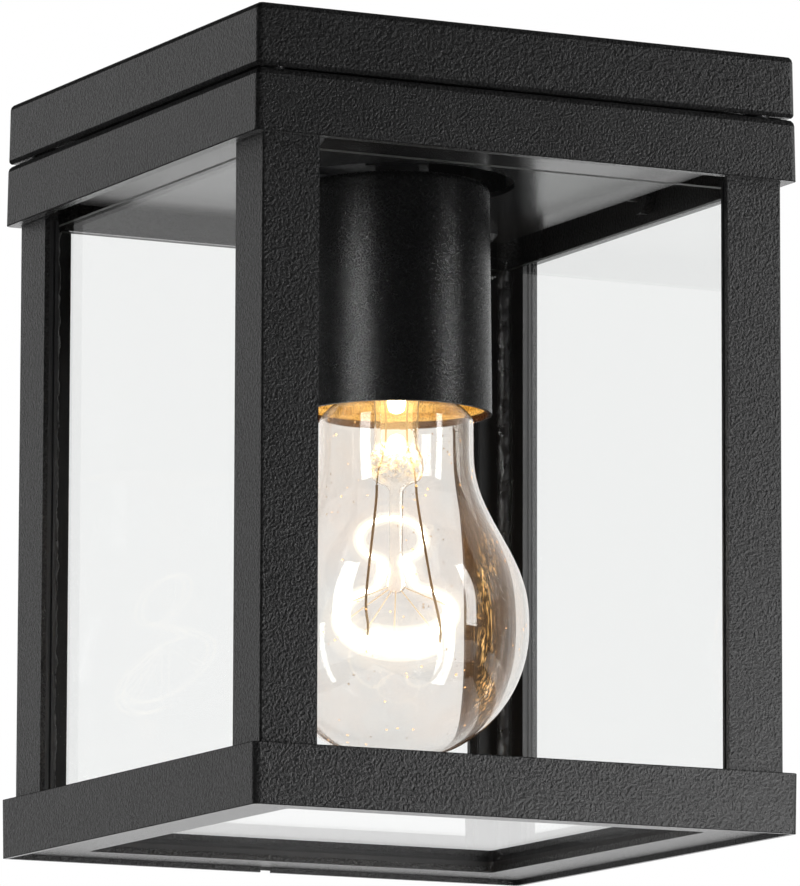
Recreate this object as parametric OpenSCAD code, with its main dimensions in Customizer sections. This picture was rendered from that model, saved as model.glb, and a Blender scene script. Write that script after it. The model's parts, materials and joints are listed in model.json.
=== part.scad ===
// Square porch ceiling lantern: cast canopy, glazed drop-down cage, lamp cup and clear bulb.
// Frame: origin at the centre of the ceiling face, +Z up, -Y the front. Millimetres.

/* [Overall] */
// Width across the widest edge, the bottom edge of the cage's top frame
body_w = 134; // [112:1:180]
// Drop from the ceiling to the lowest edge
body_h = 174.8; // [172:0.2:240]

/* [Castings] */
// Height of the canopy's side
canopy_h = 14; // [12:0.5:20]
// Height of the cage's top frame
top_frame_h = 14.1; // [13.5:0.1:20]
// Height of the bottom frame
bottom_frame_h = 13.5; // [11:0.5:20]
// Open shadow line between the canopy and the top frame
shadow_gap = 0.4; // [0.3:0.1:2]
// Casting draft of the outer sides, in degrees
draft_deg = 0.75; // [0:0.05:1.5]
// How much narrower the canopy is than the frame under it, per side
canopy_step = 0.1; // [0:0.05:1]
// How much narrower the bottom frame is than the top frame, per side
base_step = 0.3; // [0:0.05:1]
// Rounding of the upright corners of the castings
corner_r = 1.4; // [0.6:0.1:3]
// Rounding of the canopy's ceiling edge
ceiling_edge_r = 1.4; // [0.2:0.1:2]
// Rounding of the canopy's lower edge
canopy_lip_r = 0.8; // [0.2:0.1:2]
// Rounding of the top frame's upper edge
frame_lip_r = 1.5; // [0.2:0.1:2]
// Thickness of the canopy's ceiling plate
canopy_plate_t = 2.5; // [2.2:0.1:4]
// Thickness of the top frame's web
web_t = 2; // [1.5:0.1:3]
// Rim that drops below the bottom flange
rim_h = 1.1; // [0.5:0.1:3]
// Thickness of that rim
rim_t = 1.2; // [0.8:0.1:2]
// Thickness of the bottom flange
flange_t = 1.5; // [1:0.1:3]
// Width of the bottom flange, from the skirt's inner face to the window
flange_w = 13; // [10:0.5:20]

/* [Posts and glazing] */
// Leg width of the angle-section posts
post_w = 13.6; // [12:0.2:20]
// Leg thickness of the posts
post_t = 1.2; // [1:0.1:2]
// Step from the widest edge in to the post's outer face
post_inset = 2.8; // [2.4:0.1:6]
// Clearance between the posts and the skirts they stand in
post_gap = 0.3; // [0.1:0.05:0.8]
// Radius of the round screw port inside each post
port_r = 3.2; // [2.6:0.1:3.6]
// Bore radius of the screw port
port_bore_r = 1.45; // [1.2:0.05:1.8]
// Thickness of the black glazing strip behind each leg
strip_t = 2.4; // [1.5:0.1:4]
// Thickness of the glass
glass_t = 3; // [2:0.5:5]
// Slit between the top frame's lower edge and the top of the side panes
pane_slit = 1.6; // [0.5:0.1:4]
// Thickness of the rubber ring under the glass
seal_t = 1.1; // [0.8:0.1:3]

/* [Ceiling plate] */
// Depth of the inner ceiling plate's underside below the ceiling
tray_drop = 24; // [24:0.5:34]
// Sheet thickness of the gear tray
tray_t = 1.2; // [0.8:0.1:2]
// Gap between the tray's side and the glass inside the cage
tray_gap = 2.4; // [2.2:0.1:6]
// Guide clearance between the tray's side and the cage
guide_gap = 0.4; // [0.3:0.05:1]
// Open ring around the lamp cup where it meets the tray
cup_ring_gap = 5.8; // [2:0.05:9]

/* [Lampholder] */
// Cup diameter at its closed top
cup_top_d = 42; // [41:0.1:54]
// Cup diameter at its mouth
cup_mouth_d = 43.2; // [42:0.1:60]
// Length of the cup
cup_len = 52.4; // [50:0.2:70]
// Wall of the cup
cup_t = 1; // [0.6:0.1:2]
// Height of the lampholder body
holder_h = 45; // [44:0.5:49]
// Outer diameter of the lampholder body
holder_d = 38; // [34:0.5:40]
// Depth of the lamp socket
socket_depth = 26.5; // [26:0.1:30]
// Inner radius of the metal screw shell
shell_r = 13.45; // [13.4:0.05:13.8]
// Thread diameter of the hollow nipple
nipple_d = 10; // [8:1:13]

/* [Bulb] */
// Largest diameter of the bulb
bulb_d = 60; // [45:0.2:75]
// Overall length of the bulb, from the tip of the contact
bulb_len = 110; // [98:0.5:115]
// Diameter of the neck where it leaves the cup
neck_d = 35; // [30:0.2:36]
// Radius of the lamp cap
cap_r = 13.1; // [12.9:0.05:13.2]
// Length of the lamp cap with its contact
cap_h = 26.3; // [25:0.1:28]
// Wall of the glass
bulb_t = 0.7; // [0.5:0.1:1]

/* [Ceiling fixing] */
// Distance between the two screw slots
slot_spacing = 70; // [60:1:80]
// Width of the slots
slot_w = 5; // [4:0.5:6]
// End-to-end length of the slots
slot_len = 14; // [8:0.5:18]
// Hole for the cable in the rubber grommet
cable_d = 8; // [6:0.5:11]

/* [Hidden] */
$fn = 64;
hull_fn = 24;
touch = 0.02;                       // overlap of one solid's own pieces
fit = 0.03;                         // radial play of a screw, peg or sleeve in its hole
cut = 1;                            // how far a cutter passes the face it cuts

// Levels, from the ceiling down.
canopy_z = -canopy_h;
frame_top_z = canopy_z - shadow_gap;
web_z = frame_top_z - web_t;
frame_z = frame_top_z - top_frame_h;
base_z = -body_h;
base_top_z = base_z + bottom_frame_h;
flange_z = base_z + rim_h;
floor_z = flange_z + flange_t;
glass_z = floor_z + seal_t;
pane_top_z = frame_z - pane_slit;
canopy_roof_z = -canopy_plate_t;
tray_z = -tray_drop;
tray_floor_z = tray_z + tray_t;

// Half widths, from the outside in.
function lean(h) = h * tan(draft_deg);
frame_half = body_w / 2;
frame_half_top = frame_half - lean(top_frame_h);
canopy_half = frame_half_top - canopy_step;
canopy_half_top = canopy_half - lean(canopy_h);
base_half_top = frame_half - base_step;
base_half = base_half_top - lean(bottom_frame_h);
post_half = frame_half - post_inset;
socket_half = post_half + post_gap;             // inner face of every skirt
leg_half = post_half - post_t;                  // inner face of the post legs
pane_half = leg_half - strip_t;                 // outer face of the side panes
room_half = pane_half - glass_t;                // inner face of the side panes
window_half = socket_half - flange_w;
tray_half = room_half - tray_gap;
guide_half = tray_half + guide_gap;
guide_t = 1.5;                                  // wall of the guide that slides over the tray
guide_lift = 0.5;                               // the guide ends this far above the tray's underside

// Posts.
port_at = post_half - 4;                        // centre of the screw port
port_gap = 0.4;
pane_w = 2 * (port_at - port_r - port_gap);     // side panes end beside the ports
leg_edge = post_half - post_w;                  // free edge of a post leg
strip_set = 0.3;                                // strips sit back from the leg's edge
strip_set_back = 1.3;                           // those of the back pane further still
strip_groove_r = 0.35;
peg_r = port_bore_r - fit;
peg_h = 8;
post_edge_r = 0.5;
post_screw_r = port_bore_r - fit;
post_screw_head_r = 2.8;
post_screw_head_h = 1.9;
post_screw_len = 14;

// Canopy fittings.
pillar_r = 4.2;
pillar_at = tray_half - 11.2;
pilot_r = 1.65;
spigot_r = 2.5;                                 // standoff's end in the canopy's roof
spigot_h = 1.4;
gasket_depth = 1.5;
gasket_w = 5;
gasket_set = 3.5;                               // gasket to the canopy's top edge
grommet_r = 9;
grommet_lip = 1.6;
grommet_wall = 1.2;
earth_at = [-30, 30];
earth_boss_h = 4;

// Bracket that carries the lampholder on the tray.
tray_hole_r = cup_top_d / 2 + cup_ring_gap;
bracket_foot = tray_hole_r + 8.5;
bracket_w = 20;
bracket_t = 1.5;
bracket_rise = 5.3;                             // clear height under the bridge
bracket_z = tray_floor_z + bracket_rise;        // underside of the bridge
stud_r = 2;
stud_h = 6.4;
nut_af = 7;
nut_h = 3.2;
lock_af = 14;
lock_h = 3;
nipple_r = nipple_d / 2;
nipple_bore_r = nipple_r - 1.4;
nipple_above = 4.5;                             // thread standing above the bridge
nipple_below = 4.5;                             // thread in the lampholder

// Cup and lampholder.
cup_gap = 0.5;                                  // cup's roof below the tray
cup_z = tray_z - cup_gap;
cup_mouth_z = cup_z - cup_len;
cup_edge_r = 1.2;
cup_lip_h = 1.5;                                // plain painted band inside the mouth
holder_z = cup_z - cup_t;                       // top face of the lampholder
mouth_z = holder_z - holder_h;
socket_z = holder_z - holder_h + socket_depth;  // floor of the socket
shell_t = 0.4;
shell_top = 5.5;                                // shell ends this far below the socket floor
shell_set = 0.8;                                // and this far inside the mouth
contact_drop = 1.4;
contact_gap = 0.3;                              // stored gap between contact and bulb
nipple_z = holder_z - nipple_below;
socket_r = shell_r + shell_t + fit;
tab_at = 11;                                    // hole for the shell's tab
tab_hole_r = 2;
tab_w = 2.2;
channel_z = socket_z + 8;                       // cross channel for the wire to the tab

// Bulb.
tip_z = socket_z - contact_drop - contact_gap;
bulb_r = bulb_d / 2;
neck_r = neck_d / 2;
bulb_z = tip_z - bulb_len;                      // lowest point of the glass
ball_z = bulb_z + bulb_r;                       // centre of the round end
cap_z = tip_z - cap_h;                          // rim of the cap
cap_t = 0.35;
contact_h = 1.1;
insulator_h = 2.4;
insulator_r = 9.2;
neck_top_z = cap_z - 7;                         // where the neck turns in to the cap
swell_z = cap_z - 11.3;                         // where the swell dies into the neck
glass_top_z = cap_z + 8;
seat_r = cap_r - cap_t - 0.1;                   // glass inside the cap
bulb_steps = 16;
bulb_turn = -26.7;                              // way the stem's flat side faces

// Stem, leads and filament, in the bulb's own turned frame.
stem_r = 5;
stem_bore_r = 3.9;
press_z = cap_z - 12;                           // top of the pinch
press_h = 9;
press_w = 12.3;
press_t = 4.6;
rod_r = 1.6;
rod_len = 22.5;
button_r = 2.2;
lead_r = 0.3;
filament_r = 0.45;
low_loop = [12.5, ball_z + 4, 39];              // lower loop: radius, height and tilt, near side down
high_loop = [7.3, ball_z + 20.2, 50];           // upper loop, round the rod
high_shift = [-1, 0, 0];                        // and its offset from the rod
low_start = -118;                               // the lower loop starts at the left lead,
low_leave = 68;                                 // leaves for the upper loop at the far side,
low_join = 112;                                 // comes back to it
low_end = 318;                                  // and ends at the right lead
low_pitch = 2.6;                                // it drops by this much a turn
support_r = 0.16;
support_angles = [-92, -46, 14, 148, 190, 228];

// Cage screws, one on the right side and one at the back.
screw_r = 2;
screw_run = 0.05;
screw_z = web_z - 4.4;
spot_r = 4.4;
spot_depth = 0.25;                              // flat spot on the leaning side
screw_seat = frame_half_top - spot_depth;
screw_boss_r = 4.8;                             // runs into the web above it
screw_boss_h = 2.6;
screw_tip = tray_half + 0.3;
washer_t = 0.8;
washer_r = 4;
screw_head_r = 3.8;
screw_head_h = 2.2;
screw_key_r = 1.45;

// Terminal block and wires.
block_at = [tray_half - 16, -8];
block_size = [18, 29, 13];
block_base = 1.4;
pole_pitch = 9.6;
barrel_r = 2.4;
barrel_bore_r = 1.5;
well_r = 2;
block_screw_r = 1;
wire_r = 1;

SIDES = [["front", 0], ["right", 90], ["back", 180], ["left", 270]];
CORNERS = [["front_left", 0], ["front_right", 90], ["back_right", 180], ["back_left", 270]];

// ---- Shared shapes ----

// A square plate outline with round corners, kept as true arcs.
module round_square(half, r, fn = $fn) {
    square([2 * half, 2 * (half - r)], center = true);
    square([2 * (half - r), 2 * half], center = true);
    for (x = [-1, 1], y = [-1, 1]) translate([x * (half - r), y * (half - r)]) circle(r, $fn = fn);
}

// A straight block over that outline, from z_low up to z_high.
module square_block(half, r, z_low, z_high) {
    translate([0, 0, z_low]) linear_extrude(z_high - z_low) round_square(half, r);
}

// A casting's outer form: leaning sides, round upright corners and round top and bottom edges.
module casting(half_low, half_high, z_low, z_high, r_low, r_high) {
    steps = 3;
    skin = 0.01;
    function side(z) = half_low + (half_high - half_low) * (z - z_low) / (z_high - z_low);
    module level(z, inset) {
        translate([0, 0, z]) linear_extrude(skin)
            round_square(side(z) - inset, max(0.3, corner_r - inset), hull_fn);
    }
    hull() for (i = [0:steps]) {
        a = 90 * i / steps;
        level(z_low + r_low * (1 - sin(a)), r_low * (1 - cos(a)));
        level(z_high - skin - r_high * (1 - sin(a)), r_high * (1 - cos(a)));
    }
}

module ring(r_out, r_in, z_low, z_high) {
    difference() {
        translate([0, 0, z_low]) cylinder(r = r_out, h = z_high - z_low);
        translate([0, 0, z_low - cut]) cylinder(r = r_in, h = z_high - z_low + 2 * cut);
    }
}

module hex_nut(af, r_in, z_low, z_high) {
    difference() {
        translate([0, 0, z_low]) cylinder(r = af / 2 / cos(30), h = z_high - z_low, $fn = 6);
        translate([0, 0, z_low - cut]) cylinder(r = r_in, h = z_high - z_low + 2 * cut);
    }
}

// A pan-head screw hanging head down: its head's seat is at z, its shank above it.
module pan_screw(r, len, head_r, head_h, z) {
    dome = 0.6 * head_h;
    difference() {
        union() {
            translate([0, 0, z - touch]) cylinder(r = r, h = len + touch);
            translate([0, 0, z - head_h + dome]) cylinder(r = head_r, h = head_h - dome);
            translate([0, 0, z - head_h]) cylinder(r1 = 0.72 * head_r, r2 = head_r, h = dome);
        }
        for (a = [0, 90]) translate([0, 0, z - head_h]) rotate(a)
            cube([head_r, 0.25 * head_r, 1.2 * head_h], center = true);
    }
}

// A tube along a path: rings of points carried along the path without twist.
function unit(v) = v / norm(v);
function smooth(p, n) = [
    for (i = [0:len(p) - 2], k = [0:n - 1])
        let (t = k / n, a = p[max(0, i - 1)], b = p[i], c = p[i + 1],
             d = p[min(len(p) - 1, i + 2)])
        0.5 * (2 * b + (c - a) * t + (2 * a - 5 * b + 4 * c - d) * t * t
            + (3 * b - a - 3 * c + d) * t * t * t),
    p[len(p) - 1]
];
function heading(p, i) = unit(p[min(len(p) - 1, i + 1)] - p[max(0, i - 1)]);
function across(t, u) = unit(u - (u * t) * t);
function normals(p, i = 0, u = [0.31, 0.92, 0.24]) =
    i == len(p) ? [] :
    let (n = across(heading(p, i), u)) concat([n], normals(p, i + 1, n));
module tube(path, r, sides = 8) {
    n = normals(path);
    last = len(path) - 1;
    rings = [
        for (i = [0:last]) let (t = heading(path, i), b = cross(t, n[i]))
            for (s = [0:sides - 1]) let (a = 360 * s / sides)
                path[i] + r * (cos(a) * n[i] + sin(a) * b)
    ];
    walls = [
        for (i = [0:last - 1], s = [0:sides - 1])
            let (a = i * sides + s, b = i * sides + (s + 1) % sides)
            each [[a, b, a + sides], [b, b + sides, a + sides]]
    ];
    ends = [
        for (s = [1:sides - 2]) each [
            [0, s + 1, s],
            [last * sides, last * sides + s, last * sides + s + 1]
        ]
    ];
    polyhedron(rings, concat([for (f = walls) [f[0], f[2], f[1]]], [for (f = ends) [f[0], f[2], f[1]]]));
}

// ---- Canopy and what it carries ----

module canopy() {
    color("#1f1f21") difference() {
        union() {
            difference() {
                casting(canopy_half, canopy_half_top, canopy_z, 0, canopy_lip_r, ceiling_edge_r);
                square_block(socket_half, 1, canopy_z - cut, canopy_roof_z);
            }
            translate([earth_at[0], earth_at[1], canopy_roof_z - earth_boss_h])
                cylinder(r = 3.5, h = earth_boss_h + touch);
        }
        difference() {
            square_block(canopy_half_top - gasket_set, 3, -gasket_depth, cut);
            square_block(canopy_half_top - gasket_set - gasket_w, 2, -gasket_depth - cut, 2 * cut);
        }
        translate([0, 0, canopy_roof_z - cut]) cylinder(r = grommet_r, h = canopy_plate_t + 2 * cut);
        for (x = [-1, 1]) translate([x * slot_spacing / 2, 0, canopy_roof_z - cut])
            linear_extrude(canopy_plate_t + 2 * cut) {
                square([slot_len - slot_w, slot_w], center = true);
                for (e = [-1, 1]) translate([e * (slot_len - slot_w) / 2, 0]) circle(slot_w / 2);
            }
        for (s = [-1, 1]) translate([s * pillar_at, s * pillar_at, canopy_roof_z - cut])
            cylinder(r = spigot_r + fit, h = spigot_h + 0.1 + cut);
        translate([earth_at[0], earth_at[1], canopy_roof_z - earth_boss_h - cut])
            cylinder(r = pilot_r, h = earth_boss_h + cut);
    }
}

// Two turned standoffs pressed into the canopy's roof, that the gear tray hangs from.
module tray_standoffs() {
    color("#b8b8ba") for (s = [-1, 1]) translate([s * pillar_at, s * pillar_at, 0]) difference() {
        union() {
            translate([0, 0, tray_floor_z]) cylinder(r = pillar_r, h = canopy_roof_z - tray_floor_z);
            translate([0, 0, canopy_roof_z - touch]) cylinder(r = spigot_r, h = spigot_h + touch);
        }
        translate([0, 0, tray_floor_z - cut]) cylinder(r = pilot_r, h = 12 + cut);
    }
}

module ceiling_gasket() {
    outer = canopy_half_top - gasket_set;
    color("#2b2b2b") difference() {
        square_block(outer, 3, -gasket_depth, 0);
        square_block(outer - gasket_w, 2, -gasket_depth - cut, cut);
    }
}

module cable_grommet() {
    neck = grommet_r - 0.05;
    lip = grommet_r + grommet_lip;
    low = canopy_roof_z - grommet_wall;
    color("#26262a") rotate_extrude() polygon([
        [cable_d / 2, low - 2], [cable_d / 2 + 1.6, low - 2], [lip, low], [lip, canopy_roof_z],
        [neck, canopy_roof_z], [neck, 0], [cable_d / 2, 0]
    ]);
}

module gear_tray() {
    color("#8f9391") {
        difference() {
            square_block(tray_half, 2, tray_z, canopy_roof_z - 0.5);
            square_block(tray_half - tray_t, 0.8, tray_floor_z, 0);
            translate([0, 0, tray_z - cut]) cylinder(r = tray_hole_r, h = tray_t + 2 * cut, $fn = 128);
            for (s = [-1, 1]) translate([s * pillar_at, s * pillar_at, tray_z - cut])
                cylinder(r = 2.2, h = tray_t + 2 * cut);
            for (y = [-1, 1]) translate([block_at[0], block_at[1] + y * pole_pitch / 2, tray_z + 0.2])
                cylinder(r = block_screw_r, h = tray_t + cut);
        }
        for (y = [-1, 1]) translate([0, y * bracket_foot, tray_floor_z - touch])
            cylinder(r = stud_r, h = stud_h + touch);
    }
}

module gear_tray_screws() {
    color("#b8b8ba") for (s = [-1, 1]) translate([s * pillar_at, s * pillar_at, 0])
        pan_screw(pilot_r - fit, 11, 4, 2.4, tray_z);
}

module earth_screw() {
    low = canopy_roof_z - earth_boss_h;
    color("#c9a84e") translate([earth_at[0], earth_at[1], 0]) {
        pan_screw(pilot_r - fit, earth_boss_h + 1, 3.3, 2, low - 1);
        ring(4, pilot_r - 0.2, low - 1, low);
    }
}

// Bent strap: two feet on the tray's studs and a bridge over the lamp cup.
module holder_bracket() {
    half_len = bracket_foot + 6;
    foot_in = bracket_foot - 5;
    bridge = foot_in - 3;
    color("#b9bcc0") difference() {
        translate([-bracket_w / 2, 0, 0]) rotate([90, 0, 90]) linear_extrude(bracket_w) polygon([
            [-half_len, tray_floor_z], [-foot_in, tray_floor_z], [-bridge, bracket_z],
            [bridge, bracket_z], [foot_in, tray_floor_z], [half_len, tray_floor_z],
            [half_len, tray_floor_z + bracket_t], [foot_in + 0.4, tray_floor_z + bracket_t],
            [bridge + 0.4, bracket_z + bracket_t], [-bridge - 0.4, bracket_z + bracket_t],
            [-foot_in - 0.4, tray_floor_z + bracket_t], [-half_len, tray_floor_z + bracket_t]
        ]);
        translate([0, 0, bracket_z - cut]) cylinder(r = nipple_r + 0.1, h = bracket_t + 2 * cut);
        for (y = [-1, 1]) translate([0, y * bracket_foot, tray_floor_z - cut])
            cylinder(r = stud_r + 0.15, h = bracket_t + 2 * cut);
    }
}

module bracket_nuts() {
    seat = tray_floor_z + bracket_t;
    color("#b4b6ba") for (y = [-1, 1]) translate([0, y * bracket_foot, 0])
        hex_nut(nut_af, stud_r + fit, seat, seat + nut_h);
}

module nipple() {
    color("#b9bcc0") ring(nipple_r, nipple_bore_r, nipple_z,
        bracket_z + bracket_t + nipple_above);
}

module nipple_nuts() {
    top = bracket_z + bracket_t;
    color("#b4b6ba") {
        hex_nut(lock_af, nipple_r + fit, top, top + lock_h);
        hex_nut(lock_af, nipple_r + fit, bracket_z - lock_h + 0.2, bracket_z);
        hex_nut(lock_af, nipple_r + fit, cup_z, cup_z + lock_h - 0.4);
    }
}

// Drawn cup with a closed roof and a slightly wider mouth.
module lamp_cup() {
    top_r = cup_top_d / 2;
    low_r = cup_mouth_d / 2;
    arc = [for (a = [0:15:90])
        [top_r - cup_edge_r + cup_edge_r * cos(a), cup_z - cup_edge_r + cup_edge_r * sin(a)]];
    color("#202022") rotate_extrude($fn = 128) polygon(concat(
        [[low_r - cup_t, cup_mouth_z], [low_r, cup_mouth_z]],
        arc,
        [[nipple_r + 0.1, cup_z], [nipple_r + 0.1, cup_z - cup_t], [top_r - cup_t, cup_z - cup_t]]
    ));
}

module holder_body() {
    outer = holder_d / 2;
    color("#e8e6df") difference() {
        rotate_extrude($fn = 96) polygon([
            [nipple_r + fit, holder_z], [outer - 2, holder_z], [outer, holder_z - 2],
            [outer, mouth_z + 9], [outer - 1.6, mouth_z + 7.5], [outer - 1.6, mouth_z + 0.8],
            [outer - 2.4, mouth_z], [socket_r + 0.8, mouth_z], [socket_r, mouth_z + 0.8],
            [socket_r, socket_z], [3, socket_z], [3, nipple_z], [nipple_r + fit, nipple_z]
        ]);
        translate([-tab_at, 0, socket_z - cut]) cylinder(r = tab_hole_r, h = channel_z - socket_z + cut);
        translate([-tab_at, 0, channel_z]) sphere(tab_hole_r);
        translate([-tab_at, 0, channel_z]) rotate([0, 90, 0]) cylinder(r = wire_r + 0.4, h = tab_at);
    }
}

// Screw shell with the tab that its wire is soldered to.
module holder_shell() {
    top = socket_z - shell_top;
    tab_r = tab_at + wire_r;
    color("#c8a24a") {
        ring(shell_r + shell_t, shell_r, mouth_z + shell_set, top);
        translate([0, tab_w / 2, 0]) rotate([90, 0, 0]) linear_extrude(tab_w) polygon([
            [-shell_r - 0.05, top - 2], [-shell_r - 0.05, top + 1], [-tab_r, top + 2.5],
            [-tab_r, socket_z + 4], [-tab_r - shell_t, socket_z + 4],
            [-tab_r - shell_t, top + 2.2], [-shell_r - 0.32, top + 1], [-shell_r - 0.32, top - 2]
        ]);
    }
}

// Sprung tongue over the socket's floor.
module holder_contact() {
    w = 5;
    t = 0.4;
    color("#c8a24a") translate([0, w / 2, 0]) rotate([90, 0, 0]) linear_extrude(w) polygon([
        [11.5, socket_z], [7, socket_z], [3, socket_z - contact_drop + t],
        [-2.2, socket_z - contact_drop + t], [-2.8, socket_z - contact_drop + 1.1],
        [-3.1, socket_z - contact_drop + 0.9], [-2.6, socket_z - contact_drop],
        [3.1, socket_z - contact_drop], [7, socket_z - t], [11.5, socket_z - t]
    ]);
}

module at_block() translate([block_at[0], block_at[1], tray_floor_z]) children();
function pole_y(i) = (i - 1) * pole_pitch;

module terminal_block() {
    barrel_z = block_base + 0.45 * (block_size[2] - block_base);
    color("#dcdcd6") at_block() difference() {
        union() {
            translate([-block_size[0] / 2, -block_size[1] / 2, 0])
                cube([block_size[0], block_size[1], block_base]);
            for (i = [0:2]) translate([-block_size[0] / 2 + 0.6, pole_y(i) - 4.2, block_base - touch])
                cube([block_size[0] - 1.2, 8.4, block_size[2] - block_base + touch]);
        }
        for (i = [0:2]) {
            translate([-block_size[0], pole_y(i), barrel_z]) rotate([0, 90, 0])
                cylinder(r = barrel_r, h = 2 * block_size[0]);
            for (x = [-5, 5]) translate([x, pole_y(i), barrel_z]) cylinder(r = well_r, h = block_size[2]);
        }
        for (y = [-1, 1]) translate([0, y * pole_pitch / 2, 0]) {
            translate([0, 0, -cut]) cylinder(r = block_screw_r + 0.1, h = block_base + 2 * cut);
            translate([0, 0, block_base]) cylinder(r = 2.1, h = block_size[2]);
        }
    }
}

module terminal_barrels() {
    barrel_z = block_base + 0.45 * (block_size[2] - block_base);
    color("#c8a24a") at_block() for (i = [0:2]) translate([0, pole_y(i), barrel_z]) difference() {
        translate([-7.6, 0, 0]) rotate([0, 90, 0]) cylinder(r = barrel_r, h = 15.2);
        translate([-9, 0, 0]) rotate([0, 90, 0]) cylinder(r = barrel_bore_r, h = 18);
        for (x = [-5, 5]) translate([x, 0, 0]) cylinder(r = 1.3, h = 2 * barrel_r);
    }
}

module terminal_screws() {
    barrel_z = block_base + 0.45 * (block_size[2] - block_base);
    color("#b4b6ba") at_block() for (i = [0:2], x = [-5, 5])
        translate([x, pole_y(i), barrel_z + barrel_bore_r + 0.2]) difference() {
            union() {
                cylinder(r = 1.25, h = 2.2);
                translate([0, 0, barrel_r - barrel_bore_r + 0.2]) cylinder(r = 1.7, h = 1.8);
            }
            translate([-2, -0.25, barrel_r - barrel_bore_r + 1.2]) cube([4, 0.5, 2]);
        }
}

module block_screws() {
    len = block_base + tray_t - 0.3;
    color("#b4b6ba") at_block() for (y = [-1, 1])
        translate([0, y * pole_pitch / 2, block_base]) mirror([0, 0, 1])
            pan_screw(block_screw_r - fit, len, 1.8, 1.2, 0);
}

// Inner wires, from the terminal block to the nipple, the lampholder and the earth screw.
wire_z = tray_floor_z + block_base + 0.45 * (block_size[2] - block_base);
wire_x = block_at[0] - block_size[0] / 2 + 1;
function wire_y(i) = block_at[1] + pole_y(i);
nipple_top_z = bracket_z + bracket_t + nipple_above;

module live_wire() {
    color("#6b4328") tube(smooth([
        [wire_x + 2, wire_y(2), wire_z], [wire_x - 1.5, wire_y(2), wire_z],
        [15, 3, nipple_top_z - 0.5], [8, 2.5, nipple_top_z + 3], [3, 1.8, nipple_top_z + 2.5],
        [1.4, 1.5, nipple_top_z - 2], [1.4, 1.5, nipple_top_z - 8], [1, 1, nipple_z - 4],
        [0.6, 0.6, socket_z - contact_drop + 0.42]
    ], 4), wire_r);
}

module neutral_wire() {
    color("#2f62a8") tube(smooth([
        [wire_x + 2, wire_y(1), wire_z], [wire_x - 1.5, wire_y(1), wire_z],
        [15, -6, nipple_top_z - 0.5], [8, -4.5, nipple_top_z + 3], [2, -2.4, nipple_top_z + 2.5],
        [-1, -1.6, nipple_top_z - 2], [-1.2, -1.4, nipple_top_z - 8], [-1.3, -0.8, nipple_z - 3],
        [-3.5, 0, channel_z], [-8, 0, channel_z], [-tab_at + 0.6, 0, channel_z - 1.5],
        [-tab_at, 0, socket_z + 4]
    ], 4), wire_r);
}

module earth_wire() {
    color("#5c8f3a") tube(smooth([
        [wire_x + 2, wire_y(0), wire_z], [wire_x - 2, wire_y(0), wire_z],
        [12, -24, wire_z + 2], [-4, -24, wire_z + 3], [-20, -16, wire_z + 3], [-27, 0, wire_z + 3],
        [earth_at[0], earth_at[1] - 12, canopy_roof_z - earth_boss_h - 2.5],
        [earth_at[0], earth_at[1] - 4.1, canopy_roof_z - earth_boss_h - 0.5]
    ], 4), wire_r);
}

// ---- Cage ----

module at_corner(turn) rotate(turn) children();

// Angle-section post with a round screw port in its inner corner, drawn at the front left.
module post(turn) {
    length = web_z - floor_z;
    color("#262628") at_corner(turn) translate([-post_half, -post_half, floor_z])
        linear_extrude(length) difference() {
            union() {
                square([post_w, post_t]);
                square([post_t, post_w]);
                translate([post_half - port_at, post_half - port_at]) circle(port_r);
            }
            translate([post_half - port_at, post_half - port_at]) circle(port_bore_r);
            difference() {
                translate([-cut, -cut]) square(post_edge_r + cut);
                translate([post_edge_r, post_edge_r]) circle(post_edge_r, $fn = 32);
            }
        }
}

module post_screws() {
    color("#b4b6ba") for (c = CORNERS) at_corner(c[1])
        translate([-port_at, -port_at, frame_top_z]) mirror([0, 0, 1])
            pan_screw(post_screw_r, post_screw_len, post_screw_head_r, post_screw_head_h, 0);
}

// U-section ring, open below: skirt, web and an inner guide that slides over the gear tray.
module top_frame() {
    guide_z = tray_z + guide_lift;
    color("#1f1f21") difference() {
        union() {
            difference() {
                casting(frame_half, frame_half_top, frame_z, frame_top_z, 0.2, frame_lip_r);
                square_block(socket_half, 1, frame_z - cut, web_z);
            }
            square_block(guide_half + guide_t, 2, guide_z, web_z + touch);
            for (a = [0, 90]) rotate(a) translate([socket_half - screw_boss_h, 0, screw_z])
                rotate([0, 90, 0]) cylinder(r = screw_boss_r, h = screw_boss_h + touch);
        }
        square_block(guide_half, 1.6, frame_z - cut, frame_top_z + cut);
        for (a = [0, 90]) rotate(a) {
            translate([0, 0, screw_z]) rotate([0, 90, 0]) cylinder(r = screw_r + screw_run, h = body_w);
            translate([screw_seat, 0, screw_z]) rotate([0, 90, 0]) cylinder(r = spot_r, h = 5);
        }
        for (c = CORNERS) at_corner(c[1]) translate([-port_at, -port_at, web_z - cut])
            cylinder(r = post_screw_r + 0.1, h = web_t + 2 * cut);
    }
}

module pane(turn) {
    color("#cfe3e3", 0.35) rotate(turn) translate([-pane_w / 2, -pane_half, glass_z])
        cube([pane_w, glass_t, pane_top_z - glass_z]);
}

// Two glazing strips per pane, behind the post legs, with a groove along the edge that shows.
module strips(turn) {
    edge = leg_edge + (turn == 180 ? strip_set_back : strip_set);
    width = pane_w / 2 - edge;
    color("#0c0c0d") rotate(turn) for (s = [-1, 1]) translate([s * edge, -leg_half, glass_z])
        linear_extrude(pane_top_z - glass_z + 1) difference() {
            translate([s < 0 ? -width : 0, 0]) square([width, strip_t]);
            translate([0, strip_t / 2]) circle(strip_groove_r, $fn = 24);
        }
}

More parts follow.
